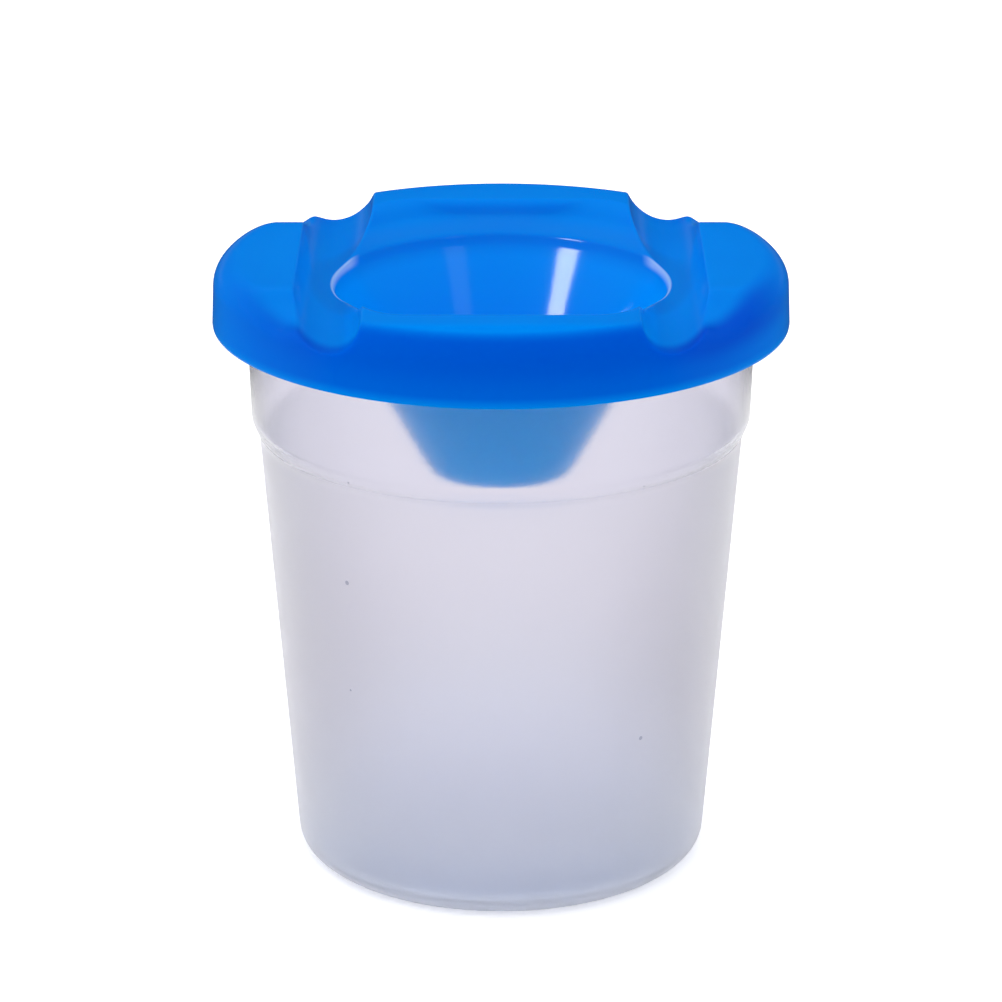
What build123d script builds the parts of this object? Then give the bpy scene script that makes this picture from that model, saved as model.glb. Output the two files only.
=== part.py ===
from build123d import *
import os
from math import hypot

# A spill-proof paint cup: a tapered beaker and a lift-off lid moulded in one
# piece with its funnel. Sizes are in millimetres, the origin is the centre of
# the base, and the front and back bands of the lid face -Y and +Y.

# Cup
cup_height = 81.6
cup_wall = 1.1
cup_floor = 1.9
cup_base_radius = 28.9
cup_base_corner = 2.9
cup_shoulder_height = 62.1
cup_shoulder_rise = 2.5
cup_shoulder_width = 1.05
cup_band_spread = 0.5
cup_mouth_radius = 35.3
rim_width = 2.7
rim_thickness = 1.5
rim_edge_chamfer = 0.4
foot_recess_radius = 23.5
foot_recess_depth = 0.8

# Lid: one round drum with a drawn-in side and a large round shoulder
lid_height = 9.3
lid_overlap = 3.7
lid_wall = 1.2
skirt_draft = 0.38
skirt_edge_chamfer = 0.3
shoulder_radius = 3.6

# Lid: four notches that fall away from the crest, each with a low rib beside
# the brush rest
notch_start = 16.8
notch_brow_reach = 1.8
notch_brow_fall = 1.2
notch_reach = 9.3
notch_fall = 3.6
notch_edge_radius = 2.6
rib_drop = 2.4
rib_crest_offset = 27.5
rib_flank_reach = 3.2
rib_flank_fall = 1.85
rib_edge_radius = 0.8

# Lid: brush rests
rest_offset = 23.2
rest_radius = 4.8
rest_rim_gap = 0.3

# Lid: basin, stepped from the funnel's mouth up to the crest
basin_half_length = 27.3
basin_half_width = 18.9
basin_corner_radius = 7.0
basin_brow_height = 2.0
basin_brow_inset = 0.7
basin_lip_height = 1.4
basin_lip_width = 0.8
basin_round_share = 0.985
basin_start_share = 0.55

# Lid: funnel
mouth_radius = 22.9
mouth_drop = 5.2
funnel_length = 25.4
funnel_tip_radius = 8.9
wall_shift_share = 0.9
inner_corner_share = 0.6

# Fit of the lid on the cup
rim_clearance = 0.8
bead_gap = 0.3
bead_crest = 0.3
bead_slant = 0.5
bead_drop = 2.6
plug_clearance = 0.45
plug_depth = 3.3
plug_wall = 1.1
seat_width = 1.3

overrun = 2.0

# Heights, radii and slopes that follow from the sizes above
cup_shoulder_radius = cup_mouth_radius - cup_band_spread - cup_shoulder_width
skirt_height = cup_height - lid_overlap
crest_height = skirt_height + lid_height
rib_height = crest_height - rib_drop
rest_axis_height = cup_height + rest_rim_gap + lid_wall + rest_radius
mouth_height = crest_height - mouth_drop
funnel_tip_height = mouth_height - funnel_length
funnel_slope = (mouth_radius - funnel_tip_radius) / funnel_length
rim_radius = cup_mouth_radius + rim_width
lid_radius = rim_radius + rim_clearance + lid_wall
plug_radius = cup_mouth_radius - cup_wall - plug_clearance
bead_height = cup_height - bead_drop
bead_tip = rim_radius + bead_gap
bead_foot = lid_radius - lid_wall / 2
bead_reach = bead_crest / 2 + bead_slant

# Basin outline at each level, from inside the funnel's lip to above the crest:
# height, half length, half width and corner radius
lip_half = mouth_radius + basin_lip_width
lip_top = mouth_height + basin_lip_height
brow_half = basin_half_length - basin_brow_inset
brow_foot = crest_height - basin_brow_height
start_half = lip_half - basin_start_share * (brow_half - lip_half)
start_height = lip_top - basin_start_share * (brow_foot - lip_top)
basin_levels = [
    (start_height, start_half, start_half, start_half * basin_round_share),
    (
        brow_foot,
        brow_half,
        (lip_half + basin_half_width) / 2,
        (lip_half + basin_corner_radius) / 2,
    ),
    (crest_height, basin_half_length, basin_half_width, basin_corner_radius),
    (crest_height + overrun, basin_half_length, basin_half_width, basin_corner_radius),
]


def cup_form(inset, bottom, top):
    """Solid of the cup's outer form between two heights, drawn in all round by inset."""
    band_base = cup_shoulder_height + cup_shoulder_rise
    band_base_radius = cup_shoulder_radius + cup_shoulder_width
    body_taper = (cup_shoulder_radius - cup_base_radius) / cup_shoulder_height
    band_taper = (cup_mouth_radius - band_base_radius) / (cup_height - band_base)
    bottom_radius = cup_base_radius + body_taper * bottom
    top_radius = cup_mouth_radius + band_taper * (top - cup_height)
    with BuildPart() as form:
        with BuildSketch(Plane.XZ) as section:
            with BuildLine():
                Polyline(
                    (0, bottom),
                    (bottom_radius - inset, bottom),
                    (cup_shoulder_radius - inset, cup_shoulder_height),
                    (band_base_radius - inset, band_base),
                    (top_radius - inset, top),
                    (0, top),
                    close=True,
                )
            make_face()
            corner = section.vertices().filter_by(lambda v: v.X > cup_wall).sort_by(Axis.Y)[0]
            if inset > 0:
                chamfer(corner, inner_corner_share * (cup_base_corner - inset))
            else:
                fillet(corner, cup_base_corner)
        revolve(axis=Axis.Z)
    return form.part


def lid_drum(inset, bottom):
    """Solid drum of the lid, drawn in all round by inset."""
    top = crest_height - inset
    foot = lid_radius - inset + skirt_draft * (skirt_height - bottom) / lid_height
    with BuildPart() as drum:
        with BuildSketch(Plane.XZ) as section:
            with BuildLine():
                Polyline(
                    (0, bottom),
                    (foot, bottom),
                    (lid_radius - skirt_draft - inset, top),
                    (0, top),
                    close=True,
                )
            make_face()
            top_corner = section.vertices().group_by(Axis.Y)[-1].sort_by(Axis.X)[-1]
            if inset > 0:
                chamfer(top_corner, inner_corner_share * (shoulder_radius - inset))
            else:
                fillet(top_corner, shoulder_radius)
        revolve(axis=Axis.Z)
    return drum.part


def corner_notches(inset):
    """Four wedges that cut the corner notches down to their ribs, grown by inset."""
    above = crest_height + overrun
    reach = lid_radius + overrun
    brow_end = (notch_start + notch_brow_reach, crest_height - notch_brow_fall)
    notch_slope = (notch_fall - notch_brow_fall) / (notch_reach - notch_brow_reach)
    notch_low = brow_end[1] - notch_slope * (reach - brow_end[0])
    rib_slope = rib_flank_fall / rib_flank_reach
    rib_low = rib_height - rib_slope * (reach - rib_crest_offset)
    with BuildPart() as notches:
        with BuildSketch(Plane.YZ) as fall:
            with BuildLine():
                Polyline(
                    (0, above),
                    (notch_start, crest_height),
                    brow_end,
                    (reach, notch_low),
                    (reach, above),
                    close=True,
                )
            make_face()
            bends = fall.vertices().sort_by(Axis.X)[1:3]
            fillet(bends, notch_edge_radius)
            if inset > 0:
                offset(amount=inset, kind=Kind.INTERSECTION)
        extrude(amount=reach)
        with BuildSketch(Plane.XZ.offset(overrun)) as rib:
            with BuildLine():
                Polyline(
                    (rest_offset, above),
                    (rest_offset, rib_height),
                    (rib_crest_offset, rib_height),
                    (reach, rib_low),
                    (reach, above),
                    close=True,
                )
            make_face()
            fillet(rib.vertices().sort_by(Axis.X)[2], rib_edge_radius)
            if inset > 0:
                offset(amount=inset, kind=Kind.INTERSECTION)
        extrude(amount=-2 * reach, mode=Mode.INTERSECT)
        mirror(about=Plane.XZ)
        mirror(about=Plane.YZ)
    return notches.part


def brush_rests(inset):
    """Two round channels along Y, widened all round by inset."""
    with BuildPart() as channels:
        with BuildSketch(Plane.XZ):
            with Locations((-rest_offset, rest_axis_height), (rest_offset, rest_axis_height)):
                Circle(rest_radius + inset)
        extrude(amount=lid_radius + overrun, both=True)
    return channels.part


def mouth_space(inset, bottom, top):
    """Turned space of the funnel and its lip between two heights, grown by inset."""
    shift = inset * wall_shift_share
    mouth = (mouth_radius + shift, mouth_height - shift)
    tip_radius = funnel_tip_radius + inset * hypot(1, funnel_slope)
    slope = (mouth[0] - tip_radius) / (mouth[1] - funnel_tip_height)
    bottom_radius = tip_radius + slope * (bottom - funnel_tip_height)
    top_radius = mouth[0] + basin_lip_width / basin_lip_height * (top - mouth[1])
    with BuildPart() as space:
        with BuildSketch(Plane.XZ):
            with BuildLine():
                Polyline(
                    (0, bottom),
                    (bottom_radius, bottom),
                    mouth,
                    (top_radius, top),
                    (0, top),
                    close=True,
                )
            make_face()
        revolve(axis=Axis.Z)
    return space.part


def basin_space(inset):
    """Space that runs from the round lip out to a rounded oblong at the crest."""
    shift = inset * wall_shift_share
    with BuildPart() as space:
        for height, half_length, half_width, corner_radius in basin_levels:
            with BuildSketch(Plane.XY.offset(height - shift)):
                RectangleRounded(
                    2 * (half_width + shift),
                    2 * (half_length + shift),
                    corner_radius + shift,
                )
        loft(ruled=True)
    return space.part


# Cup: one turned body with a flat rim, hollowed and recessed under its base
with BuildPart() as cup:
    add(cup_form(0, 0, cup_height))
    with BuildSketch(Plane.XY.offset(cup_height - rim_thickness)):
        Circle(rim_radius)
    extrude(amount=rim_thickness)
    rim_side = cup.faces().filter_by(GeomType.CYLINDER).sort_by(SortBy.RADIUS)[-1]
    chamfer(rim_side.edges().filter_by(GeomType.CIRCLE), rim_edge_chamfer)
    add(cup_form(cup_wall, cup_floor, cup_height + overrun), mode=Mode.SUBTRACT)
    with BuildSketch(Plane.XY):
        Circle(foot_recess_radius)
    extrude(amount=foot_recess_depth, mode=Mode.SUBTRACT)

# Space under the lid: the lid's form drawn in by its wall, less the plug ring
# and the seat that stands on the cup's rim
with BuildPart() as hollow:
    add(lid_drum(lid_wall, skirt_height - overrun))
    add(corner_notches(lid_wall), mode=Mode.SUBTRACT)
    add(brush_rests(lid_wall), mode=Mode.SUBTRACT)
    add(basin_space(lid_wall), mode=Mode.SUBTRACT)
    add(mouth_space(lid_wall, skirt_height - overrun, crest_height), mode=Mode.SUBTRACT)
    with BuildSketch(Plane.XY.offset(cup_height - plug_depth)):
        Circle(plug_radius)
        Circle(plug_radius - plug_wall, mode=Mode.SUBTRACT)
    extrude(amount=lid_height, mode=Mode.SUBTRACT)
    with BuildSketch(Plane.XY.offset(cup_height)):
        Circle(cup_mouth_radius - cup_wall + seat_width)
        Circle(plug_radius - plug_wall, mode=Mode.SUBTRACT)
    extrude(amount=lid_height, mode=Mode.SUBTRACT)

# Lid: drum and funnel, cut from above and hollowed from below
with BuildPart() as lid:
    add(lid_drum(0, skirt_height))
    add(mouth_space(lid_wall, funnel_tip_height, lip_top))
    add(corner_notches(0), mode=Mode.SUBTRACT)
    add(brush_rests(0), mode=Mode.SUBTRACT)
    add(basin_space(0), mode=Mode.SUBTRACT)
    add(
        mouth_space(0, funnel_tip_height - overrun, crest_height + overrun),
        mode=Mode.SUBTRACT,
    )
    add(hollow.part, mode=Mode.SUBTRACT)
    with BuildSketch(Plane.XZ):
        with BuildLine():
            Polyline(
                (bead_foot, bead_height - bead_reach),
                (bead_foot, bead_height + bead_reach),
                (bead_tip, bead_height + bead_crest / 2),
                (bead_tip, bead_height - bead_crest / 2),
                close=True,
            )
        make_face()
    revolve(axis=Axis.Z)
    rings = lid.edges().filter_by(GeomType.CIRCLE).sort_by(Axis.Z)
    skirt_edges = [ring for ring in rings if ring.radius > lid_radius - lid_wall / 2]
    chamfer(skirt_edges[0], skirt_edge_chamfer)

os.makedirs("parts", exist_ok=True)
cup.part.label = "cup"
export_step(cup.part, "parts/cup.step")
lid.part.label = "lid"
export_step(lid.part, "parts/lid.step")
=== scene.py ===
"""Paint cup with lid: a frosted beaker under a soft blue lid that is one moulding with its funnel."""

import logging
import math
from collections.abc import Callable
from dataclasses import dataclass
from enum import Enum

import bpy
import numpy as np
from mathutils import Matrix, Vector


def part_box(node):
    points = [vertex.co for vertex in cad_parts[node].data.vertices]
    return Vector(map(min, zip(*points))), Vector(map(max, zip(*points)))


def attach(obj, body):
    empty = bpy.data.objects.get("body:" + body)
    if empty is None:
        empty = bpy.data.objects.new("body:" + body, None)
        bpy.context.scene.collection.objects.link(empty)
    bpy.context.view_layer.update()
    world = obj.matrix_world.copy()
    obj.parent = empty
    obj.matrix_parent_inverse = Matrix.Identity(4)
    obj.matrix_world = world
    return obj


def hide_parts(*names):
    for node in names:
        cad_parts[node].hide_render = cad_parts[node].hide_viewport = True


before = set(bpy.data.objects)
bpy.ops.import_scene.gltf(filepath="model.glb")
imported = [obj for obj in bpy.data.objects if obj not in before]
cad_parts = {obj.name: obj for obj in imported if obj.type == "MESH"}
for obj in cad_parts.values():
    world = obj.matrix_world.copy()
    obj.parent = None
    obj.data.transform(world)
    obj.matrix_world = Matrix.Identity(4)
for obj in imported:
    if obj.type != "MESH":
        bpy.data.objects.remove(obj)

logging.basicConfig(level=logging.INFO, format="%(message)s")
log = logging.getLogger("paint_cup")

MM = 0.001
TURN_STEPS = 480
OUTER_RINGS = 128
INNER_RINGS = 60
FAR = 40.0  # millimetres past the last kink of a line, well outside the lid

Array = np.ndarray
Point = tuple[float, float]
Point3 = tuple[float, float, float]
Colour = tuple[float, float, float]
Tree = bpy.types.NodeTree
Socket = bpy.types.NodeSocket
Sockets = bpy.types.bpy_prop_collection
Material = bpy.types.Material


class Body(Enum):
    """The two bodies that the pieces ride on."""

    CUP = "cup"
    LID = "lid"


class Slot(Enum):
    """Material slots of the record."""

    CUP_PLASTIC = "cup_plastic"
    LID_PLASTIC = "lid_plastic"


# Smooth joins and searches


def soft_least(first: Array, second: Array, blend: Array | float) -> Array:
    """Least of two depths with the corner between them rounded.

    Args:
        first: Depth below one surface.
        second: Depth below the other surface.
        blend: Width of the rounding, in the unit of the depths.

    Returns:
        The rounded least depth.
    """
    reach = np.maximum(blend - np.abs(first - second), 0.0) / blend
    return np.minimum(first, second) - reach * reach * blend / 4


def soft_most(first: Array, second: Array, blend: float) -> Array:
    """Greatest of two depths with the corner between them rounded."""
    return -soft_least(-first, -second, blend)


def rounded_interp(at: Array, places: list[float], values: list[float], spread: float) -> Array:
    """Straight lines through points, with each kink rounded over a spread either side."""
    taps = np.linspace(-1.0, 1.0, 7)
    weights = 1.0 - 0.85 * np.abs(taps)
    total = sum(w * np.interp(at + t * spread, places, values) for t, w in zip(taps, weights))
    return total / weights.sum()


def halve(
    depth_at: Callable[[Array], Array], level: float, low: Array, high: Array, steps: int
) -> Array:
    """Halve a range to find the last place in it that is deeper than a level.

    Args:
        depth_at: Depth at each place.
        level: Depth that is looked for.
        low: Places known to be deeper.
        high: Places known to be less deep.
        steps: How many times the range is halved.

    Returns:
        The last places found to be deeper.
    """
    for _ in range(steps):
        middle = (low + high) / 2
        inside = depth_at(middle) > level
        low, high = np.where(inside, middle, low), np.where(inside, high, middle)
    return low


# Mesh helpers


def deselect_all() -> None:
    """Leave object mode with nothing selected."""
    if bpy.context.object and bpy.context.object.mode != "OBJECT":
        bpy.ops.object.mode_set(mode="OBJECT")
    bpy.ops.object.select_all(action="DESELECT")


def turned(
    name: str, profile: list[Point], steps: int = TURN_STEPS, closed: bool = False
) -> bpy.types.Object:
    """Turn a profile round the Z axis into a sheet.

    Args:
        name: Name of the new piece.
        profile: Radius and height of each point, in millimetres.
        steps: Steps of the full turn.
        closed: Whether the last point joins the first one.

    Returns:
        The new mesh object, with doubles merged.
    """
    deselect_all()
    first_radius, first_height = profile[0]
    bpy.ops.mesh.primitive_plane_add(size=MM, location=(first_radius * MM, 0, first_height * MM))
    piece = bpy.context.object
    piece.name = piece.data.name = name
    bpy.ops.object.transform_apply(location=True, rotation=True, scale=True)
    bpy.ops.object.mode_set(mode="EDIT")
    bpy.ops.mesh.select_mode(type="VERT")
    bpy.ops.mesh.select_all(action="SELECT")
    bpy.ops.mesh.merge(type="CENTER")
    for (radius, height), (last_radius, last_height) in zip(profile[1:], profile):
        step = ((radius - last_radius) * MM, 0, (height - last_height) * MM)
        bpy.ops.mesh.extrude_vertices_move(TRANSFORM_OT_translate={"value": step})
    bpy.ops.mesh.select_all(action="SELECT")
    if closed:
        bpy.ops.mesh.remove_doubles(threshold=1e-6)
        bpy.ops.mesh.select_all(action="SELECT")
    bpy.ops.mesh.spin(steps=steps, angle=math.tau, center=(0, 0, 0), axis=(0, 0, 1))
    bpy.ops.mesh.select_all(action="SELECT")
    bpy.ops.mesh.remove_doubles(threshold=2e-6)
    bpy.ops.mesh.normals_make_consistent(inside=False)
    bpy.ops.object.mode_set(mode="OBJECT")
    return piece


def vertex_places(piece: bpy.types.Object) -> Array:
    """Place of each vertex, in millimetres."""
    places = np.empty(len(piece.data.vertices) * 3)
    piece.data.vertices.foreach_get("co", places)
    return places.reshape(-1, 3) / MM


def move_vertices(piece: bpy.types.Object, places: Array) -> None:
    """Put each vertex at its place, given in millimetres."""
    piece.data.vertices.foreach_set("co", (places * MM).ravel())
    piece.data.update()


def corner_arc(centre: Point, radius: float, start: float, end: float, steps: int) -> list[Point]:
    """Points of an arc in the profile plane, with angles in degrees from the outward radius."""
    angles = [math.radians(start + (end - start) * i / steps) for i in range(steps + 1)]
    return [(centre[0] + radius * math.cos(a), centre[1] + radius * math.sin(a)) for a in angles]


def straight(start: Point, end: Point, steps: int) -> list[Point]:
    """Evenly spaced points between two points, both left out."""
    return [
        (start[0] + (end[0] - start[0]) * i / steps, start[1] + (end[1] - start[1]) * i / steps)
        for i in range(1, steps)
    ]


def half_round(outer: Point, inner: Point, bulge: float) -> list[Point]:
    """Rounded edge that joins the outer and inner wall, with the bulge's height below them."""
    middle = (outer[0] + inner[0]) / 2
    half = (outer[0] - inner[0]) / 2
    return [
        (
            middle + math.copysign(abs(math.cos(a)) ** 0.5, math.cos(a)) * half,
            outer[1] - bulge * math.sin(a) ** 0.5,
        )
        for a in map(math.radians, (30, 60, 90, 120, 150))
    ]


# Lid


@dataclass
class Lid:
    """The blue lid: shell with funnel, plug ring and bead. Sizes are in millimetres.

    The shell's form is a depth below its outer surface, the least of the depths below the
    drum, the corner notches, the basin with the funnel, and the brush rests. The pivots are
    where the search lines for that surface start, and the searches are how far they go. The
    weights say how the points of a section crowd at its bends and thin out in the funnel.
    """

    radius: float
    crest: float
    tip: float
    cup_rim: float
    overlap: float = 3.7
    wall: float = 1.2
    draft_slope: float = 0.041
    shoulder: float = 3.6
    rest_offset: float = 23.2
    rest_radius: float = 4.8
    rest_gap: float = 0.3
    fold: float = 16.8
    brow_reach: float = 1.8
    brow_fall: float = 1.2
    notch_reach: float = 9.3
    notch_fall: float = 3.6
    rib_drop: float = 2.4
    rib_crest: float = 27.5
    rib_slope: float = 0.578
    mouth_radius: float = 22.9
    mouth_drop: float = 5.2
    tip_radius: float = 8.9
    lip_radius: float = 23.4
    lip_drop: float = 3.8
    brow_foot_drop: float = 2.0
    basin_length: float = 27.3
    basin_width: float = 18.9
    basin_corner: float = 7.0
    brow_inset: float = 0.7
    crest_round: float = 1.2
    edge_round: float = 1.3
    rest_round: float = 0.38
    fold_round: float = 1.9
    lip_round: float = 0.35
    foot_round: float = 0.35
    rib_round: float = 0.7
    inner_edge_round: float = 0.4
    edge_fade: Point = (4.0, 2.0)
    notch_lead: float = 3.0
    inner_pivot: Point = (26.5, 80.0)
    outer_pivot: Point = (35.5, 81.0)
    top_search: float = 12.0
    side_search: float = 8.0
    search_margin: float = 2.0
    most_bend: float = 0.3
    bend_weight: float = 1.2
    funnel_weight: float = 0.45
    plug_outer: float = 33.75
    plug_wall: float = 1.1
    plug_drop: float = 3.3
    seat_outer: float = 35.5
    bead_centre: float = 38.8
    bead_radius: float = 0.5
    bead_drop: float = 2.6

    @property
    def foot(self) -> float:
        """Height of the skirt's lower edge."""
        return self.cup_rim - self.overlap

    def drum_depth(self, radius: Array, height: Array) -> Array:
        """Depth below the drum's side, top and round shoulder."""
        side = self.radius - self.draft_slope * (height - self.foot) - radius
        top = self.crest - height
        past_side, past_top = self.shoulder - side, self.shoulder - top
        corner = np.hypot(np.maximum(past_side, 0), np.maximum(past_top, 0))
        return self.shoulder - corner - np.minimum(np.maximum(past_side, past_top), 0)

    def corner_depth(self, across: Array, along: Array, height: Array) -> Array:
        """Depth below the corner notches and their ribs, outside the brush rests."""
        reach = self.fold + self.notch_reach
        brow = self.fold + self.brow_reach
        slope = (self.notch_fall - self.brow_fall) / (self.notch_reach - self.brow_reach)
        brow_top = self.crest - self.brow_fall
        places = [0.0, self.fold, brow, brow + FAR]
        tops = [self.crest + self.notch_lead, self.crest, brow_top, brow_top - slope * FAR]
        notch_top = rounded_interp(along, places, tops, self.fold_round)
        steepness = np.where(along < brow, self.brow_fall / self.brow_reach, slope)
        notch = (notch_top - height) / np.hypot(1, np.where(along > reach, slope, steepness))
        rib_places = [0.0, self.rib_crest, self.rib_crest + FAR]
        rib_height = self.crest - self.rib_drop
        rib_tops = [rib_height, rib_height, rib_height - self.rib_slope * FAR]
        rib_top = rounded_interp(across, rib_places, rib_tops, self.rib_round)
        rib = (rib_top - height) / np.hypot(1, np.where(across > self.rib_crest, self.rib_slope, 0))
        deep = soft_most(notch, rib, self.edge_round)
        return np.where(across > self.rest_offset, deep, self.radius)

    def basin_outline(self, across: Array, along: Array, height: Array) -> Array:
        """Distance outside the opening of the funnel and basin at each height."""
        levels = [
            self.tip,
            self.crest - self.mouth_drop,
            self.crest - self.lip_drop,
            self.crest - self.brow_foot_drop,
            self.crest,
            self.crest + 2,
        ]
        brow_length = self.basin_length - self.brow_inset
        brow_width = (self.lip_radius + self.basin_width) / 2
        brow_corner = (self.lip_radius + self.basin_corner) / 2
        round_part = [self.tip_radius, self.mouth_radius, self.lip_radius]
        lengths = [*round_part, brow_length, self.basin_length, self.basin_length]
        widths = [*round_part, brow_width, self.basin_width, self.basin_width]
        corners = [*round_part, brow_corner, self.basin_corner, self.basin_corner]
        half_x = rounded_interp(height, levels, widths, self.lip_round)
        half_y = rounded_interp(height, levels, lengths, self.lip_round)
        corner = rounded_interp(height, levels, corners, self.lip_round)
        past_x, past_y = across - half_x + corner, along - half_y + corner
        outside = np.hypot(np.maximum(past_x, 0), np.maximum(past_y, 0))
        return outside + np.minimum(np.maximum(past_x, past_y), 0) - corner

    def basin_depth(self, across: Array, along: Array, height: Array) -> Array:
        """Depth behind the wall of the funnel and basin, square to the wall."""
        step = 0.05
        outline = self.basin_outline(across, along, height)
        above = self.basin_outline(across, along, height + step)
        below = self.basin_outline(across, along, height - step)
        return outline / np.hypot(1, (above - below) / (2 * step))

    def rest_depth(self, across: Array, height: Array) -> Array:
        """Depth below the round channels of the brush rests."""
        axis = self.cup_rim + self.rest_gap + self.wall + self.rest_radius
        return np.hypot(across - self.rest_offset, height - axis) - self.rest_radius

    def depth(self, radius: Array, angle: Array, height: Array) -> Array:
        """Depth below the lid's whole outer surface.

        Args:
            radius: Distance from the Z axis.
            angle: Angle round the Z axis from +X, in radians.
            height: Height above the base.

        Returns:
            The depth, positive in the material and under it, with every edge rounded.
        """
        across, along = np.abs(radius * np.cos(angle)), np.abs(radius * np.sin(angle))
        fade_start, fade_width = self.edge_fade
        outward = np.clip((radius - self.radius + fade_start) / fade_width, 0, 1)
        fold_blend = self.inner_edge_round + (self.edge_round - self.inner_edge_round) * outward
        drum, corner = self.drum_depth(radius, height), self.corner_depth(across, along, height)
        form = soft_least(drum, corner, fold_blend)
        form = soft_least(form, self.basin_depth(across, along, height), self.crest_round)
        return soft_least(form, self.rest_depth(across, height), self.rest_round)

    def rays(self, count: int) -> tuple[Array, Array, Array, Array]:
        """Lines in the section plane that each meet the surface once.

        Args:
            count: Lines over the top of the lid; the funnel and the side have a share of it.

        Returns:
            Radius and height of each line's start, and its direction outward and upward.
        """
        inner, outer, third = self.inner_pivot, self.outer_pivot, count // 3
        funnel = np.linspace(self.tip, inner[1], third, endpoint=False)
        turn_in = np.linspace(math.pi, math.pi / 2, third, endpoint=False)
        over = np.linspace(0, 1, third, endpoint=False)
        turn_out = np.linspace(math.pi / 2, 0, third, endpoint=False)
        side = np.linspace(outer[1], self.foot + self.foot_round, count // 10)
        start_r = np.concatenate([
            np.full_like(funnel, outer[0]),
            np.full_like(turn_in, inner[0]),
            inner[0] + (outer[0] - inner[0]) * over,
            np.full_like(turn_out, outer[0]),
            np.full_like(side, outer[0]),
        ])
        start_z = np.concatenate([
            funnel,
            np.full_like(turn_in, inner[1]),
            inner[1] + (outer[1] - inner[1]) * over,
            np.full_like(turn_out, outer[1]),
            side,
        ])
        away = np.concatenate([
            np.full_like(funnel, math.pi),
            turn_in,
            np.full_like(over, math.pi / 2),
            turn_out,
            np.zeros_like(side),
        ])
        return start_r, start_z, np.cos(away), np.sin(away)

    def surface(
        self, angles: Array, level: float, rings: int, count: int = 330
    ) -> tuple[Array, Array]:
        """Section of the shell at each angle, from the funnel's tip to the skirt's foot.

        Args:
            angles: Angles of the sections.
            level: Depth of the wanted surface, 0 for the outer one.
            rings: Points of each section.
            count: Lines that find the surface before it is divided evenly.

        Returns:
            Radius and height of the points, one row for each angle.
        """
        start_r, start_z, out, up = (a[None, :] for a in self.rays(count))
        theta, funnel_lines, side_lines = angles[:, None], count // 3, count // 10
        shape = np.broadcast_shapes(theta.shape, start_r.shape)
        longest = np.full(shape, self.top_search)
        longest[:, :funnel_lines] = self.outer_pivot[0] - self.search_margin
        longest[:, -side_lines:] = self.side_search
        reach = halve(
            lambda far: self.depth(start_r + out * far, theta, start_z + up * far),
            level, np.zeros(shape), longest, steps=15,
        )
        section_r, section_z = start_r + out * reach, start_z + up * reach
        step_r, step_z = np.diff(section_r, axis=1), np.diff(section_z, axis=1)
        heading = np.unwrap(np.arctan2(step_z, step_r), axis=1)
        bend = np.abs(np.diff(heading, axis=1, prepend=heading[:, :1]))
        travel = np.hypot(step_r, step_z) + np.minimum(bend, self.most_bend) * self.bend_weight
        travel[:, :funnel_lines] *= self.funnel_weight
        along = np.concatenate([np.zeros((len(angles), 1)), np.cumsum(travel, axis=1)], axis=1)
        wanted = np.linspace(0, 1, rings)
        radius, height = np.empty((len(angles), rings)), np.empty((len(angles), rings))
        for row in range(len(angles)):
            share = along[row] / along[row, -1]
            radius[row] = np.interp(wanted, share, section_r[row])
            height[row] = np.interp(wanted, share, section_z[row])
        return self.settle(radius, height, theta, level)

    def settle(
        self, radius: Array, height: Array, theta: Array, level: float
    ) -> tuple[Array, Array]:
        """Move points square to the surface until they lie on it, but for the end rings."""
        step, flattest = 0.02, 0.2
        for _ in range(3):
            miss = self.depth(radius, theta, height) - level
            slope_r = (self.depth(radius + step, theta, height) - miss - level) / step
            slope_z = (self.depth(radius, theta, height + step) - miss - level) / step
            size = np.maximum(slope_r**2 + slope_z**2, flattest)
            radius[:, 1:-1] -= (miss * slope_r / size)[:, 1:-1]
            height[:, 1:-1] -= (miss * slope_z / size)[:, 1:-1]
        return radius, height

    def build_shell(self) -> bpy.types.Object:
        """Turn the section through the front band, then move each vertex to its own section."""
        angles = np.arange(TURN_STEPS) * math.tau / TURN_STEPS
        outer_r, outer_z = self.surface(angles, 0.0, OUTER_RINGS)
        inner_r, inner_z = self.surface(angles, self.wall, INNER_RINGS)
        foot, tip = self.foot + self.foot_round, self.tip + self.foot_round
        outer_tip, outer_foot = float(outer_r[0, 0]), float(outer_r[0, -1])
        inner_tip, inner_foot = float(inner_r[0, 0]), float(inner_r[0, -1])
        foot_edge = half_round((outer_foot, foot), (inner_foot, foot), self.foot_round)
        tip_edge = half_round((inner_tip, tip), (outer_tip, tip), self.foot_round)
        outer_z[:, 0] = inner_z[:, 0] = tip
        count = len(angles)

        def ring_block(points: list[Point]) -> tuple[Array, Array]:
            """The same points at every angle."""
            block = np.array(points)
            return np.tile(block[:, 0], (count, 1)), np.tile(block[:, 1], (count, 1))

        foot_r, foot_z = ring_block(foot_edge)
        tip_r, tip_z = ring_block(tip_edge)
        radius = np.hstack([outer_r, foot_r, inner_r[:, ::-1], tip_r])
        height = np.hstack([outer_z, foot_z, inner_z[:, ::-1], tip_z])
        quarter = TURN_STEPS // 4
        section = [(float(r), float(z)) for r, z in zip(radius[quarter], height[quarter])]
        shell = turned("lid_shell", [*section, section[0]], closed=True)
        co = vertex_places(shell)
        column = np.rint(np.arctan2(co[:, 1], co[:, 0]) / math.tau * count).astype(int) % count
        here = np.stack([np.hypot(co[:, 0], co[:, 1]), co[:, 2]], axis=1)
        points = np.array(section)
        gap = ((here[:, None, :] - points[None, :, :]) ** 2).sum(axis=2)
        ring = gap.argmin(axis=1)
        new_r, new_z, theta = radius[column, ring], height[column, ring], angles[column]
        move_vertices(shell, np.stack([new_r * np.cos(theta), new_r * np.sin(theta), new_z], axis=1))
        return shell

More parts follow.
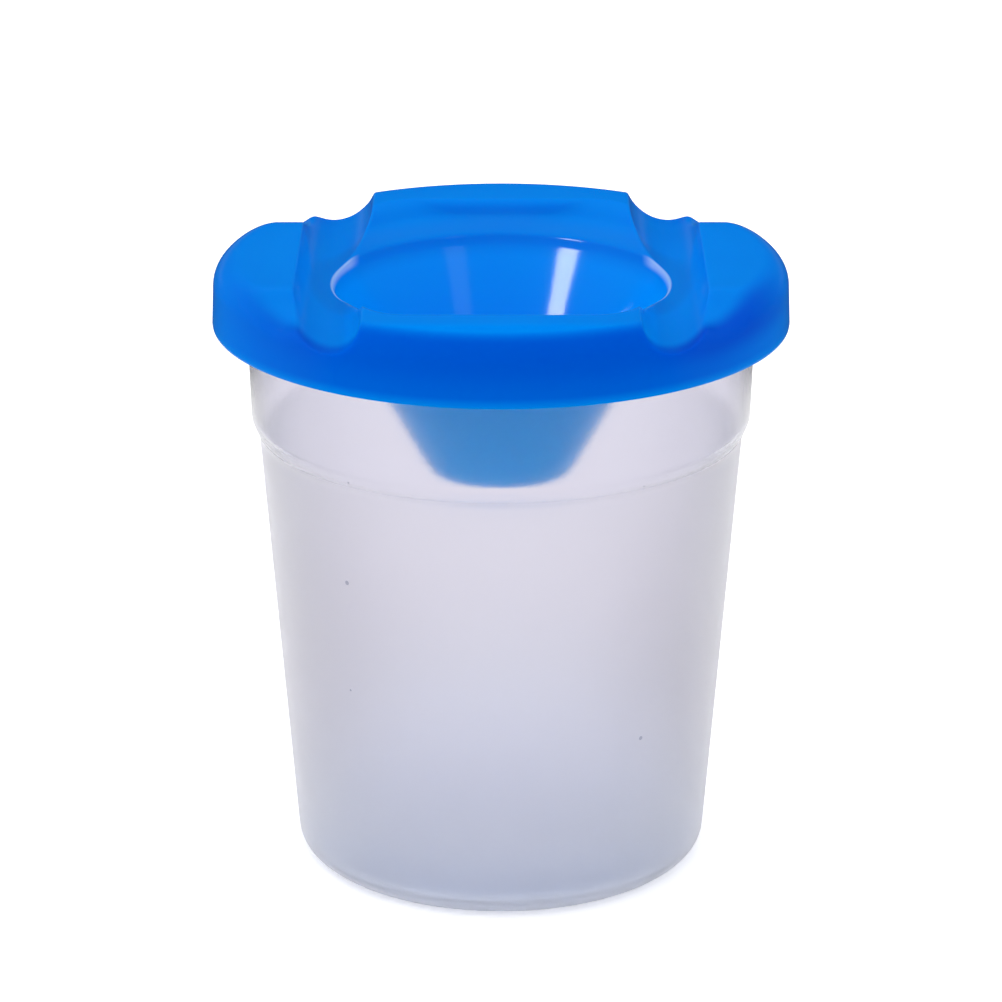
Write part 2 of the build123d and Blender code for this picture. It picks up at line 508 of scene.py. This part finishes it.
    def underside(self, angle: Array, radius: Array, level: float) -> Array:
        """Height at which the depth below the top is the given level."""
        low = np.full(len(angle), self.foot + self.search_margin)
        high = np.full(len(angle), self.crest)
        return halve(lambda height: self.depth(radius, angle, height), level, low, high, steps=16)

    def build_plug_ring(self) -> bpy.types.Object:
        """Ring that plugs the cup's mouth and seats on its rim, let into the shell above it."""
        outer, seat, rim = self.plug_outer, self.seat_outer, self.cup_rim
        bottom, inner, roof = rim - self.plug_drop, outer - self.plug_wall, rim + 1.0
        soft, fillet = 0.3, 0.25
        cut = soft * 0.3
        tops = [inner + (seat - inner) * i / 4 for i in range(5)]
        profile = [
            (inner, bottom + soft),
            (inner + cut, bottom + cut),
            (inner + soft, bottom),
            (outer - soft, bottom),
            (outer - cut, bottom + cut),
            (outer, bottom + soft),
            (outer, rim - fillet),
            (outer + fillet, rim),
            (seat - soft, rim),
            (seat, rim + soft),
            *[(r, roof) for r in reversed(tops)],
        ]
        ring = turned("lid_plug_ring", [*profile, profile[0]], TURN_STEPS // 2, closed=True)
        co = vertex_places(ring)
        top = co[:, 2] > roof - 0.1
        angle, radius = np.arctan2(co[top, 1], co[top, 0]), np.hypot(co[top, 0], co[top, 1])
        co[top, 2] = self.underside(angle, radius, self.wall / 2)
        move_vertices(ring, co)
        return ring

    def build_bead(self) -> bpy.types.Object:
        """Bead inside the skirt that snaps under the cup's rim."""
        deselect_all()
        bpy.ops.mesh.primitive_torus_add(
            major_radius=self.bead_centre * MM,
            minor_radius=self.bead_radius * MM,
            major_segments=TURN_STEPS // 2,
            minor_segments=12,
            location=(0, 0, (self.cup_rim - self.bead_drop) * MM),
        )
        bead = bpy.context.object
        bead.name = bead.data.name = "lid_bead"
        bpy.ops.object.transform_apply(location=True, rotation=True, scale=True)
        return bead


# Cup


@dataclass
class Cup:
    """The frosted beaker, turned in one piece. Sizes are in millimetres."""

    height: float
    rim_radius: float
    wall: float = 1.1
    floor: float = 1.9
    base_radius: float = 28.9
    base_corner: float = 2.9
    shoulder_height: float = 62.1
    shoulder_radius: float = 33.75
    shoulder_rise: float = 2.5
    shoulder_width: float = 1.05
    mouth_radius: float = 35.3
    rim_thickness: float = 1.5
    rim_round: float = 0.55
    foot_radius: float = 23.5
    foot_depth: float = 0.8
    foot_flare: float = 0.2
    soft: float = 0.25
    bend_round: float = 0.35
    bend_reach: float = 1.5

    def side(self, inset: float, bottom: float, top: float) -> list[Point]:
        """Side from the base corner to the mouth, with the shoulder's bends rounded."""
        taper = (self.shoulder_radius - self.base_radius) / self.shoulder_height
        band = self.shoulder_height + self.shoulder_rise
        band_radius = self.shoulder_radius + self.shoulder_width
        bends_from, bends_to = self.shoulder_height - self.bend_reach, band + self.bend_reach
        heights = np.concatenate([
            np.linspace(bottom, bends_from, 16, endpoint=False),
            np.linspace(bends_from, bends_to, 22, endpoint=False),
            np.linspace(bends_to, top, 8),
        ])
        radii = rounded_interp(
            heights,
            [0.0, self.shoulder_height, band, self.height],
            [self.base_radius, self.shoulder_radius, band_radius, self.mouth_radius],
            self.bend_round,
        )
        lower = heights < self.shoulder_height / 2
        radii = np.where(lower, self.base_radius + taper * heights, radii)
        return [(float(r) - inset, float(z)) for r, z in zip(radii, heights)]

    def profile(self) -> list[Point]:
        """Whole section, from the middle of the underside to the middle of the floor inside."""
        corner, soft, depth, floor = self.base_corner, self.soft, self.foot_depth, self.floor
        inner_corner = corner - self.wall
        outer_foot = self.base_radius + self.foot_flare
        rim_low = self.height - self.rim_thickness
        outside = self.side(0, corner, rim_low)
        inside = self.side(self.wall, floor + inner_corner, self.height - soft)
        edge = self.rim_radius - self.rim_round
        flat_end = inside[0][0] - inner_corner
        return [
            (0, depth),
            *straight((0, depth), (self.foot_radius - soft, depth), 6),
            *corner_arc((self.foot_radius - soft, depth - soft), soft, 90, 0, 3),
            *corner_arc((self.foot_radius + soft, soft), soft, 180, 270, 3),
            *corner_arc((outer_foot - corner, corner), corner, 270, 355, 10),
            *outside,
            *corner_arc((edge, rim_low + self.rim_round), self.rim_round, 270, 360, 5),
            *corner_arc((edge, self.height - self.rim_round), self.rim_round, 0, 90, 5),
            *corner_arc((inside[-1][0] + soft, self.height - soft), soft, 90, 180, 3),
            *reversed(inside[:-1]),
            *corner_arc((flat_end, floor + inner_corner), inner_corner, -8, -90, 6),
            *reversed(straight((0, floor), (flat_end, floor), 6)),
            (0, floor),
        ]

    def build(self) -> bpy.types.Object:
        """Turn the cup."""
        return turned("cup_body", self.profile(), steps=288)


# Finishes


@dataclass(frozen=True)
class Ramp:
    """Smooth step: low before the start, high past the end."""

    start: float
    end: float
    low: float = 0.0
    high: float = 1.0


def socket_group(name: str, inputs: dict[str, float], outputs: list[str]) -> Tree:
    """New shader node group with number inputs and number outputs.

    Args:
        name: Name of the group.
        inputs: Default of each input by name.
        outputs: Name of each output.

    Returns:
        The empty group, with its input and output nodes in place.
    """
    group = bpy.data.node_groups.new(name, "ShaderNodeTree")
    for label, value in inputs.items():
        socket = group.interface.new_socket(label, in_out="INPUT", socket_type="NodeSocketFloat")
        socket.default_value = value
    for label in outputs:
        group.interface.new_socket(label, in_out="OUTPUT", socket_type="NodeSocketFloat")
    group.nodes.new("NodeGroupInput").name = "in"
    group.nodes.new("NodeGroupOutput").name = "out"
    return group


def object_coordinates(tree: Tree) -> Socket:
    """Object coordinates of a tree, from one node that all its users share."""
    place = tree.nodes.get("place") or tree.nodes.new("ShaderNodeTexCoord")
    place.name = "place"
    return place.outputs["Object"]


def place_and_radius(tree: Tree) -> tuple[Sockets, Socket]:
    """Place on the object.

    Args:
        tree: Node tree of a material.

    Returns:
        The sockets X, Y and Z, and the socket of the distance from the Z axis.
    """
    place = tree.nodes.new("ShaderNodeSeparateXYZ")
    tree.links.new(object_coordinates(tree), place.inputs["Vector"])
    flat = tree.nodes.new("ShaderNodeCombineXYZ")
    for axis in ("X", "Y"):
        tree.links.new(place.outputs[axis], flat.inputs[axis])
    away = tree.nodes.new("ShaderNodeVectorMath")
    away.operation = "LENGTH"
    tree.links.new(flat.outputs["Vector"], away.inputs[0])
    return place.outputs, away.outputs["Value"]


def noise(tree: Tree, scale: float, detail: float, rough: float = 0.5) -> bpy.types.Node:
    """Noise texture on Object coordinates, with its scale in waves a metre."""
    texture = tree.nodes.new("ShaderNodeTexNoise")
    texture.inputs["Scale"].default_value = scale
    texture.inputs["Detail"].default_value = detail
    texture.inputs["Roughness"].default_value = rough
    tree.links.new(object_coordinates(tree), texture.inputs["Vector"])
    return texture


def span(tree: Tree, value: Socket, ramp: Ramp) -> Socket:
    """Value of a ramp at a place or number."""
    node = tree.nodes.new("ShaderNodeMapRange")
    node.interpolation_type = "SMOOTHSTEP"
    numbers = (ramp.start, ramp.end, ramp.low, ramp.high)
    for label, number in zip(("From Min", "From Max", "To Min", "To Max"), numbers):
        node.inputs[label].default_value = number
    tree.links.new(value, node.inputs["Value"])
    return node.outputs["Result"]


def combine(tree: Tree, how: str, first: Socket, second: Socket | float) -> Socket:
    """Math node on two values."""
    node = tree.nodes.new("ShaderNodeMath")
    node.operation = how
    tree.links.new(first, node.inputs[0])
    if isinstance(second, (int, float)):
        node.inputs[1].default_value = second
    else:
        tree.links.new(second, node.inputs[1])
    return node.outputs[0]


def product(tree: Tree, first: Socket, *others: Socket | float) -> Socket:
    """Product of two or more values, from left to right."""
    for other in others:
        first = combine(tree, "MULTIPLY", first, other)
    return first


def one_less(tree: Tree, value: Socket) -> Socket:
    """One minus a value."""
    node = tree.nodes.new("ShaderNodeMath")
    node.operation = "SUBTRACT"
    node.inputs[0].default_value = 1.0
    tree.links.new(value, node.inputs[1])
    return node.outputs[0]


def mirrored(tree: Tree, path: bpy.types.Node) -> Socket:
    """One for rays that come off a shiny surface, zero for those that came through one."""
    outside = one_less(tree, path.outputs["Is Transmission Ray"])
    return product(tree, path.outputs["Is Glossy Ray"], outside)


def blend_colour(tree: Tree, share: Socket, first: Colour | Socket, second: Colour | Socket) -> Socket:
    """Mix of two colours, from the first at a share of 0 to the second at 1."""
    node = tree.nodes.new("ShaderNodeMix")
    node.data_type = "RGBA"
    tree.links.new(share, node.inputs["Factor"])
    for label, colour in (("A", first), ("B", second)):
        socket = next(s for s in node.inputs if s.name == label and s.type == "RGBA")
        if isinstance(colour, tuple):
            socket.default_value = (*colour, 1.0)
        else:
            tree.links.new(colour, socket)
    return next(s for s in node.outputs if s.type == "RGBA")


def moulded_skin_group() -> Tree:
    """Fine unevenness that a mould leaves: soft waves, a matt grain and hair scratches."""
    group = socket_group(
        "moulded_skin",
        {"Waves": 60.0, "Grain": 2500.0, "Scratches": 0.5},
        ["Height", "Matt"],
    )
    source, sink = group.nodes["in"], group.nodes["out"]
    waves = noise(group, 60, 2)
    grain = noise(group, 2500, 2)
    hair = noise(group, 90, 3, 0.6)
    for label, texture in (("Waves", waves), ("Grain", grain)):
        group.links.new(source.outputs[label], texture.inputs["Scale"])
    stretch = group.nodes.new("ShaderNodeMapping")
    stretch.inputs["Rotation"].default_value = (0.4, 0.7, 0.3)
    stretch.inputs["Scale"].default_value = (1.0, 1.0, 14.0)
    group.links.new(object_coordinates(group), stretch.inputs["Vector"])
    group.links.new(stretch.outputs["Vector"], hair.inputs["Vector"])
    line = span(group, hair.outputs["Fac"], Ramp(0.70, 0.74))
    lined = product(group, line, source.outputs["Scratches"])
    fine = product(group, grain.outputs["Fac"], 0.06)
    height = combine(group, "ADD", waves.outputs["Fac"], fine)
    height = combine(group, "SUBTRACT", height, product(group, lined, 0.05))
    group.links.new(height, sink.inputs["Height"])
    matt = combine(group, "ADD", product(group, grain.outputs["Fac"], 0.5), lined)
    group.links.new(matt, sink.inputs["Matt"])
    return group


def specks_group() -> Tree:
    """Sparse tiny specks and short marks in the plastic, as a mask."""
    group = socket_group("specks", {"Density": 140.0, "Size": 0.05}, ["Mask"])
    source, sink = group.nodes["in"], group.nodes["out"]
    cells = group.nodes.new("ShaderNodeTexVoronoi")
    group.links.new(object_coordinates(group), cells.inputs["Vector"])
    group.links.new(source.outputs["Density"], cells.inputs["Scale"])
    small = combine(group, "LESS_THAN", cells.outputs["Distance"], source.outputs["Size"])
    split = group.nodes.new("ShaderNodeSeparateColor")
    group.links.new(cells.outputs["Color"], split.inputs["Color"])
    few = combine(group, "GREATER_THAN", split.outputs["Red"], 0.8)
    group.links.new(product(group, small, few), sink.inputs["Mask"])
    return group


@dataclass(frozen=True)
class Surface:
    """Settings of the moulded skin on one plastic."""

    waves: float
    grain: float
    scratches: float
    strength: float
    distance: float

    def apply(self, tree: Tree, skin: Tree) -> Socket:
        """Link the skin to the shader's bump, and give its matt mask."""
        feel = tree.nodes.new("ShaderNodeGroup")
        feel.node_tree = skin
        feel.inputs["Waves"].default_value = self.waves
        feel.inputs["Grain"].default_value = self.grain
        feel.inputs["Scratches"].default_value = self.scratches
        bump = tree.nodes.new("ShaderNodeBump")
        bump.inputs["Strength"].default_value = self.strength
        bump.inputs["Distance"].default_value = self.distance
        tree.links.new(feel.outputs["Height"], bump.inputs["Height"])
        tree.links.new(bump.outputs["Normal"], tree.nodes["Principled BSDF"].inputs["Normal"])
        return feel.outputs["Matt"]


def new_material(name: str) -> tuple[Material, Tree, Sockets]:
    """New material with its node tree and the inputs of its shader."""
    material = bpy.data.materials.new(name)
    material.use_nodes = True
    tree = material.node_tree
    return material, tree, tree.nodes["Principled BSDF"].inputs


@dataclass(frozen=True)
class LidPlastic:
    """Blue soft plastic that lets light through, with places in metres.

    Its painted light and shade follow the photograph: painted shade deepens the shoulder towards
    the front and the front right, a painted glow pales the skirt's foot, painted highlights mark
    both ends of the mouth, and the funnel is painted brighter.
    """

    bright: Colour = (0.0, 0.216, 0.81)
    # painted shade: deeper blue on the shoulder where less light falls, towards the front and front
    # right
    deep: Colour = (0.0, 0.079, 0.60)
    # painted glow: paler blue at the skirt's foot, for light coming through the thin edge
    glow: Colour = (0.0, 0.22, 0.78)
    # painted light: the funnel is brighter than the body, its outer face brighter still, for light
    # through the cup
    funnel: Colour = (0.0, 0.31, 0.98)
    funnel_outside_painted_light: Colour = (0.0, 0.43, 1.0)
    # painted highlight: the pale arcs at both ends of the mouth
    arc_highlight: Colour = (0.45, 0.62, 1.0)
    surface: Surface = Surface(
        waves=55.0, grain=2600.0, scratches=0.3, strength=0.25, distance=0.0004
    )
    # painted shade: where the deeper blue lies, stronger towards the front and on the front right, a
    # touch over the outer top
    shade_by_radius: Ramp = Ramp(0.0355, 0.0385)
    shade_by_height: Ramp = Ramp(0.0790, 0.0840, 0.8, 1.0)
    shade_front: Ramp = Ramp(-0.006, -0.036, 0.15, 0.86)
    shade_right: Ramp = Ramp(0.018, 0.034, 0.0, 0.45)
    shade_right_by_front: Ramp = Ramp(-0.002, -0.018)
    shade_right_by_height: Ramp = Ramp(0.0800, 0.0835, 0.25, 1.0)
    deep_top: Ramp = Ramp(0.030, 0.0345, 0.0, 0.05)
    patches: Ramp = Ramp(0.2, 0.8, -0.05, 0.05)
    patch_scale: float = 35.0
    # where the painted glow at the skirt's foot fades in
    foot_edge: Ramp = Ramp(0.0795, 0.0779)
    funnel_by_radius: Ramp = Ramp(0.0250, 0.0235)
    funnel_by_height: Ramp = Ramp(0.0835, 0.0800)
    cone_slope: float = 0.56
    cone_start: float = -0.0224
    cone_wall: Ramp = Ramp(-0.0002, 0.0002)
    # place of the painted highlights at the mouth's ends
    arc_inside: Ramp = Ramp(0.0229, 0.0232)
    arc_outside: Ramp = Ramp(0.0237, 0.0234)
    arc_ends: Ramp = Ramp(0.0198, 0.0214, 0.0, 0.7)
    arc_height: Ramp = Ramp(0.0808, 0.0816)
    roughness: Ramp = Ramp(0.0, 1.0, 0.15, 0.3)
    funnel_polish: Ramp = Ramp(0.0255, 0.0225, 0.0, 0.07)
    gloss: Ramp = Ramp(0.0245, 0.0275, 0.42, 0.06)
    gloss_front: Ramp = Ramp(-0.0335, -0.0295)

    def body_colour(self, tree: Tree, place: Sockets, away: Socket) -> Socket:
        """Blue of the top and the skirt, with painted shade on the front shoulder and a painted glow
        at the foot.
        """
        # painted shade on the shoulder, stronger towards the front and on the front right
        right = product(
            tree,
            span(tree, place["X"], self.shade_right),
            span(tree, place["Y"], self.shade_right_by_front),
            span(tree, place["Z"], self.shade_right_by_height),
        )
        sides = combine(tree, "ADD", span(tree, place["Y"], self.shade_front), right)
        rim = product(tree, span(tree, away, self.shade_by_radius), sides)
        rim = combine(tree, "ADD", rim, span(tree, away, self.deep_top))
        shoulder = product(tree, rim, span(tree, place["Z"], self.shade_by_height))
        uneven = span(tree, noise(tree, self.patch_scale, 2).outputs["Fac"], self.patches)
        shade = combine(tree, "ADD", shoulder, uneven)
        body = blend_colour(tree, shade, self.bright, self.deep)
        # painted glow at the skirt's foot
        return blend_colour(tree, span(tree, place["Z"], self.foot_edge), body, self.glow)

    def funnel_colour(self, tree: Tree, place: Sockets, away: Socket) -> Socket:
        """Funnel blue painted brighter than the body, with painted light lighter still on the side
        that faces the cup.
        """
        cone = combine(tree, "ADD", product(tree, place["Z"], self.cone_slope), self.cone_start)
        behind_wall = combine(tree, "SUBTRACT", away, cone)
        outside = span(tree, behind_wall, self.cone_wall)
        return blend_colour(tree, outside, self.funnel, self.funnel_outside_painted_light)

    def mouth_highlights(self, tree: Tree, place: Sockets, away: Socket) -> Socket:
        """Mask of the painted highlights at the left and right ends of the mouth."""
        sideways = combine(tree, "ABSOLUTE", place["X"], 0.0)
        return product(
            tree,
            span(tree, away, self.arc_inside),
            span(tree, away, self.arc_outside),
            span(tree, sideways, self.arc_ends),
            span(tree, place["Z"], self.arc_height),
        )

    def material(self, skin: Tree) -> Material:
        """Material with its blues, painted light and shade, and gloss by the place on the lid, and a
        moulded skin.
        """
        material, tree, shader = new_material("lid_plastic")
        place, away = place_and_radius(tree)
        # painted light: the hanging funnel takes a brighter blue
        inward = span(tree, away, self.funnel_by_radius)
        hanging = product(tree, inward, span(tree, place["Z"], self.funnel_by_height))
        body = self.body_colour(tree, place, away)
        whole = blend_colour(tree, hanging, body, self.funnel_colour(tree, place, away))
        # painted highlights at both ends of the mouth
        colour = blend_colour(tree, self.mouth_highlights(tree, place, away), whole, self.arc_highlight)
        tree.links.new(colour, shader["Base Color"])
        rough = span(tree, self.surface.apply(tree, skin), self.roughness)
        polished = combine(tree, "SUBTRACT", rough, span(tree, away, self.funnel_polish))
        tree.links.new(polished, shader["Roughness"])
        matt_front = span(tree, place["Y"], self.gloss_front)
        gloss = product(tree, span(tree, away, self.gloss), matt_front)
        tree.links.new(gloss, shader["Specular IOR Level"])
        shader["Subsurface Weight"].default_value = 0.2
        shader["Subsurface Radius"].default_value = (0.1, 0.5, 1.0)
        shader["Subsurface Scale"].default_value = 0.003
        return material


@dataclass(frozen=True)
class CupPlastic:
    """Frosted milky plastic with a faint violet cast, with places in metres."""

    band: Colour = (0.892, 0.88, 0.948)
    tint: Colour = (0.918, 0.903, 0.960)
    # painted shade for the dark base corner
    foot: Colour = (0.72, 0.76, 0.86)
    cool: Colour = (0.865, 0.89, 0.95)
    mark: Colour = (0.35, 0.36, 0.45)
    surface: Surface = Surface(
        waves=45.0, grain=1800.0, scratches=0.6, strength=0.2, distance=0.0003
    )
    below_shoulder: Ramp = Ramp(0.0640, 0.0624)
    cool_height: Ramp = Ramp(0.03, 0.0)
    corner_shade_by_radius: Ramp = Ramp(0.021, 0.027)
    corner_shade_by_height: Ramp = Ramp(0.012, 0.001)
    mark_density: float = 150.0
    mark_size: float = 0.05
    bloom: float = 0.9
    band_bloom: float = 0.06
    frost: Ramp = Ramp(0.058, 0.018, 0.0, 0.2)
    frost_step: float = 0.17
    roughness: Ramp = Ramp(0.0, 1.2, 0.12, 0.22)

    def body_colour(self, tree: Tree, height: Socket, away: Socket, below: Socket) -> Socket:
        """Milky white, cooler towards the base, with painted shade darkening its base corner."""
        milky = blend_colour(tree, below, self.band, self.tint)
        body = blend_colour(tree, span(tree, height, self.cool_height), milky, self.cool)
        # painted shade darkening the base corner
        outer = span(tree, away, self.corner_shade_by_radius)
        corner = product(tree, outer, span(tree, height, self.corner_shade_by_height))
        return blend_colour(tree, corner, body, self.foot)

    def speckled(self, tree: Tree, base: Socket, specks: Tree) -> Socket:
        """Colour with a few dark specks."""
        spots = tree.nodes.new("ShaderNodeGroup")
        spots.node_tree = specks
        spots.inputs["Density"].default_value = self.mark_density
        spots.inputs["Size"].default_value = self.mark_size
        return blend_colour(tree, spots.outputs["Mask"], base, self.mark)

    def material(self, skin: Tree, specks: Tree) -> Material:
        """Material that lets light through with a blur, more matt and hazy below the shoulder."""
        material, tree, shader = new_material("cup_plastic")
        place, away = place_and_radius(tree)
        height = place["Z"]
        below = span(tree, height, self.below_shoulder)
        body = self.body_colour(tree, height, away, below)
        tree.links.new(self.speckled(tree, body, specks), shader["Base Color"])
        rough = span(tree, self.surface.apply(tree, skin), self.roughness)
        step = product(tree, below, self.frost_step)
        frost = combine(tree, "ADD", step, span(tree, height, self.frost))
        tree.links.new(combine(tree, "ADD", rough, frost), shader["Roughness"])
        shader["IOR"].default_value = 1.45
        shader["Transmission Weight"].default_value = 1.0
        haze = combine(tree, "ADD", product(tree, below, self.bloom), self.band_bloom)
        tree.links.new(haze, shader["Sheen Weight"])
        shader["Sheen Roughness"].default_value = 0.45
        shader["Sheen Tint"].default_value = (0.97, 0.96, 1.0, 1.0)
        return material


@dataclass(frozen=True)
class FloorFinish:
    """Matt white paper floor, dark in reflections but for the part behind the cup."""

    light: Colour = (0.93, 0.93, 0.935)
    shade: Colour = (0.90, 0.90, 0.91)
    glow_colour: Colour = (0.95, 0.96, 1.0)
    grain_scale: float = 300.0
    lift: float = 0.4
    under_cup: Ramp = Ramp(0.044, 0.032, 0.0, 0.72)
    near_cup: Ramp = Ramp(0.24, 0.20)
    behind_cup: Ramp = Ramp(-0.06, 0.04)
    front_mirrored: float = 0.03
    back_mirrored: float = 0.95

    def material(self) -> Material:
        """Paper with a barely visible grain, and a glow that lifts it and the cup's base."""
        material, tree, shader = new_material("paper_floor")
        material.cycles.emission_sampling = "NONE"
        place, away = place_and_radius(tree)
        path = tree.nodes.new("ShaderNodeLightPath")
        grain = noise(tree, self.grain_scale, 4)
        paper = blend_colour(tree, grain.outputs["Fac"], self.light, self.shade)
        near = span(tree, away, self.near_cup)
        behind = product(tree, near, span(tree, place["Y"], self.behind_cup))
        front_grey, back_grey = (self.front_mirrored,) * 3, (self.back_mirrored,) * 3
        dark = blend_colour(tree, behind, front_grey, back_grey)
        colour = blend_colour(tree, mirrored(tree, path), paper, dark)
        tree.links.new(colour, shader["Base Color"])
        shader["Roughness"].default_value = 0.9
        shader["Specular IOR Level"].default_value = 0.1
        shader["Emission Color"].default_value = (*self.glow_colour, 1.0)
        glow = product(tree, path.outputs["Is Camera Ray"], self.lift)
        under = span(tree, away, self.under_cup)
        through = product(tree, path.outputs["Is Transmission Ray"], under)
        tree.links.new(combine(tree, "ADD", glow, through), shader["Emission Strength"])
        return material


# Studio


@dataclass(frozen=True)
class Lamp:
    """Small lamp that shows only as a highlight. The power is in watts."""

    name: str
    place: Point3
    power: float


@dataclass
class Studio:
    """Pale floor, soft lights and the camera at the photograph's viewing angle."""

    floor_size: float = 6.0
    camera_place: Point3 = (0.0, -0.5570, 0.2514)
    camera_tilt: float = 70.21
    lens: float = 150.9
    sensor: float = 36.0
    sideways: Ramp = Ramp(-1.0, 1.0, 1.38, 1.07)
    frontal: Ramp = Ramp(-1.0, 0.3, 0.72, 1.0)
    backdrop_by_heading: Ramp = Ramp(0.75, 0.9)
    backdrop_by_height: Ramp = Ramp(0.13, 0.06, 0.0, 0.1)
    back_light: float = 1.0
    mirror_light: float = 0.005
    lamp_aim: Point3 = (0.0, 0.018, 0.078)
    lamp_size: Point = (0.13, 0.12)
    lamps: tuple[Lamp, ...] = (
        Lamp("highlight", (-0.385, -0.262, 0.433), 0.7),
        Lamp("faint_highlight", (0.28, -0.35, 0.456), 0.025),
    )

    def build_floor(self) -> bpy.types.Object:
        """Large floor under the cup."""
        deselect_all()
        bpy.ops.mesh.primitive_plane_add(size=self.floor_size, location=(0, 0, 0))
        floor = bpy.context.object
        floor.name = floor.data.name = "floor"
        floor.data.materials.append(FloorFinish().material())
        return floor

    def build_world(self) -> None:
        """White tent: a little brighter from the left, plain white behind, and dim in reflections."""
        world = bpy.data.worlds.new("studio")
        bpy.context.scene.world = world
        world.use_nodes = True
        world.cycles.sampling_method = "NONE"
        tree = world.node_tree
        background = tree.nodes["Background"]
        background.inputs["Color"].default_value = (1.0, 1.0, 1.0, 1.0)
        place = tree.nodes.new("ShaderNodeTexCoord")
        heading = tree.nodes.new("ShaderNodeSeparateXYZ")
        tree.links.new(place.outputs["Generated"], heading.inputs["Vector"])
        right, back, up = (heading.outputs[axis] for axis in "XYZ")
        tent = product(tree, span(tree, right, self.sideways), span(tree, back, self.frontal))
        path = tree.nodes.new("ShaderNodeLightPath")
        camera, through = path.outputs["Is Camera Ray"], path.outputs["Is Transmission Ray"]
        seen = combine(tree, "MAXIMUM", camera, through)
        lit = product(tree, tent, one_less(tree, seen))
        shown = combine(tree, "ADD", lit, product(tree, seen, self.back_light))
        backdrop = product(
            tree,
            span(tree, back, self.backdrop_by_heading),
            span(tree, up, self.backdrop_by_height),
        )
        unlit = product(tree, one_less(tree, backdrop), 1.0 - self.mirror_light)
        dim = product(tree, mirrored(tree, path), unlit)
        total = product(tree, shown, one_less(tree, dim))
        tree.links.new(total, background.inputs["Strength"])

    def build_lights(self) -> None:
        """Two rectangular lamps that only gloss shows, a strong one and a faint one."""
        for lamp in self.lamps:
            light = bpy.data.lights.new(lamp.name, "AREA")
            light.shape = "RECTANGLE"
            light.size, light.size_y = self.lamp_size
            light.energy = lamp.power
            holder = bpy.data.objects.new(lamp.name, light)
            bpy.context.scene.collection.objects.link(holder)
            holder.location = lamp.place
            facing = Vector(self.lamp_aim) - Vector(lamp.place)
            holder.rotation_euler = facing.to_track_quat("-Z", "Y").to_euler()
            holder.visible_diffuse = holder.visible_transmission = False

    def build_camera(self) -> bpy.types.Object:
        """Camera that sees the cup as the photograph does."""
        data = bpy.data.cameras.new("camera")
        data.sensor_width = self.sensor
        data.lens = self.lens
        camera = bpy.data.objects.new("camera", data)
        bpy.context.scene.collection.objects.link(camera)
        camera.location = self.camera_place
        camera.rotation_euler = (math.radians(self.camera_tilt), 0, 0)
        bpy.context.scene.camera = camera
        return camera

    def set_colours(self) -> None:
        """Plain colour management and enough light bounces for the clear walls."""
        scene = bpy.context.scene
        scene.view_settings.view_transform = "Standard"
        scene.cycles.max_bounces = 16
        scene.cycles.transmission_bounces = 12
        scene.cycles.caustics_refractive = True


def finish_piece(piece: bpy.types.Object, body: Body, material: Material) -> None:
    """Smooth a piece, dress it and let it ride on its body."""
    deselect_all()
    piece.select_set(True)
    bpy.context.view_layer.objects.active = piece
    bpy.ops.object.shade_smooth()
    piece.data.materials.clear()
    piece.data.materials.append(material)
    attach(piece, body.value)
    log.info("%s: %d faces", piece.name, len(piece.data.polygons))


def main() -> None:
    """Build the object and its studio around the frame."""
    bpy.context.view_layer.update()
    lid_low, lid_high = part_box("lid")
    cup_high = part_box("cup")[1]
    skin, specks = moulded_skin_group(), specks_group()
    lid_material = LidPlastic().material(skin)
    cup_material = CupPlastic().material(skin, specks)

    cup = Cup(height=cup_high.z / MM, rim_radius=cup_high.x / MM)
    cup_body = cup.build()
    finish_piece(cup_body, Body.CUP, cup_material)
    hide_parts("cup")

    lid = Lid(
        radius=lid_high.x / MM,
        crest=lid_high.z / MM,
        tip=lid_low.z / MM,
        cup_rim=cup_high.z / MM,
    )
    shell = lid.build_shell()
    finish_piece(shell, Body.LID, lid_material)
    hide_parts("lid")
    finish_piece(lid.build_plug_ring(), Body.LID, lid_material)
    finish_piece(lid.build_bead(), Body.LID, lid_material)

    studio = Studio()
    studio.build_floor()
    studio.build_world()
    studio.build_lights()
    studio.build_camera()
    studio.set_colours()


if __name__ == "__main__":
    main()
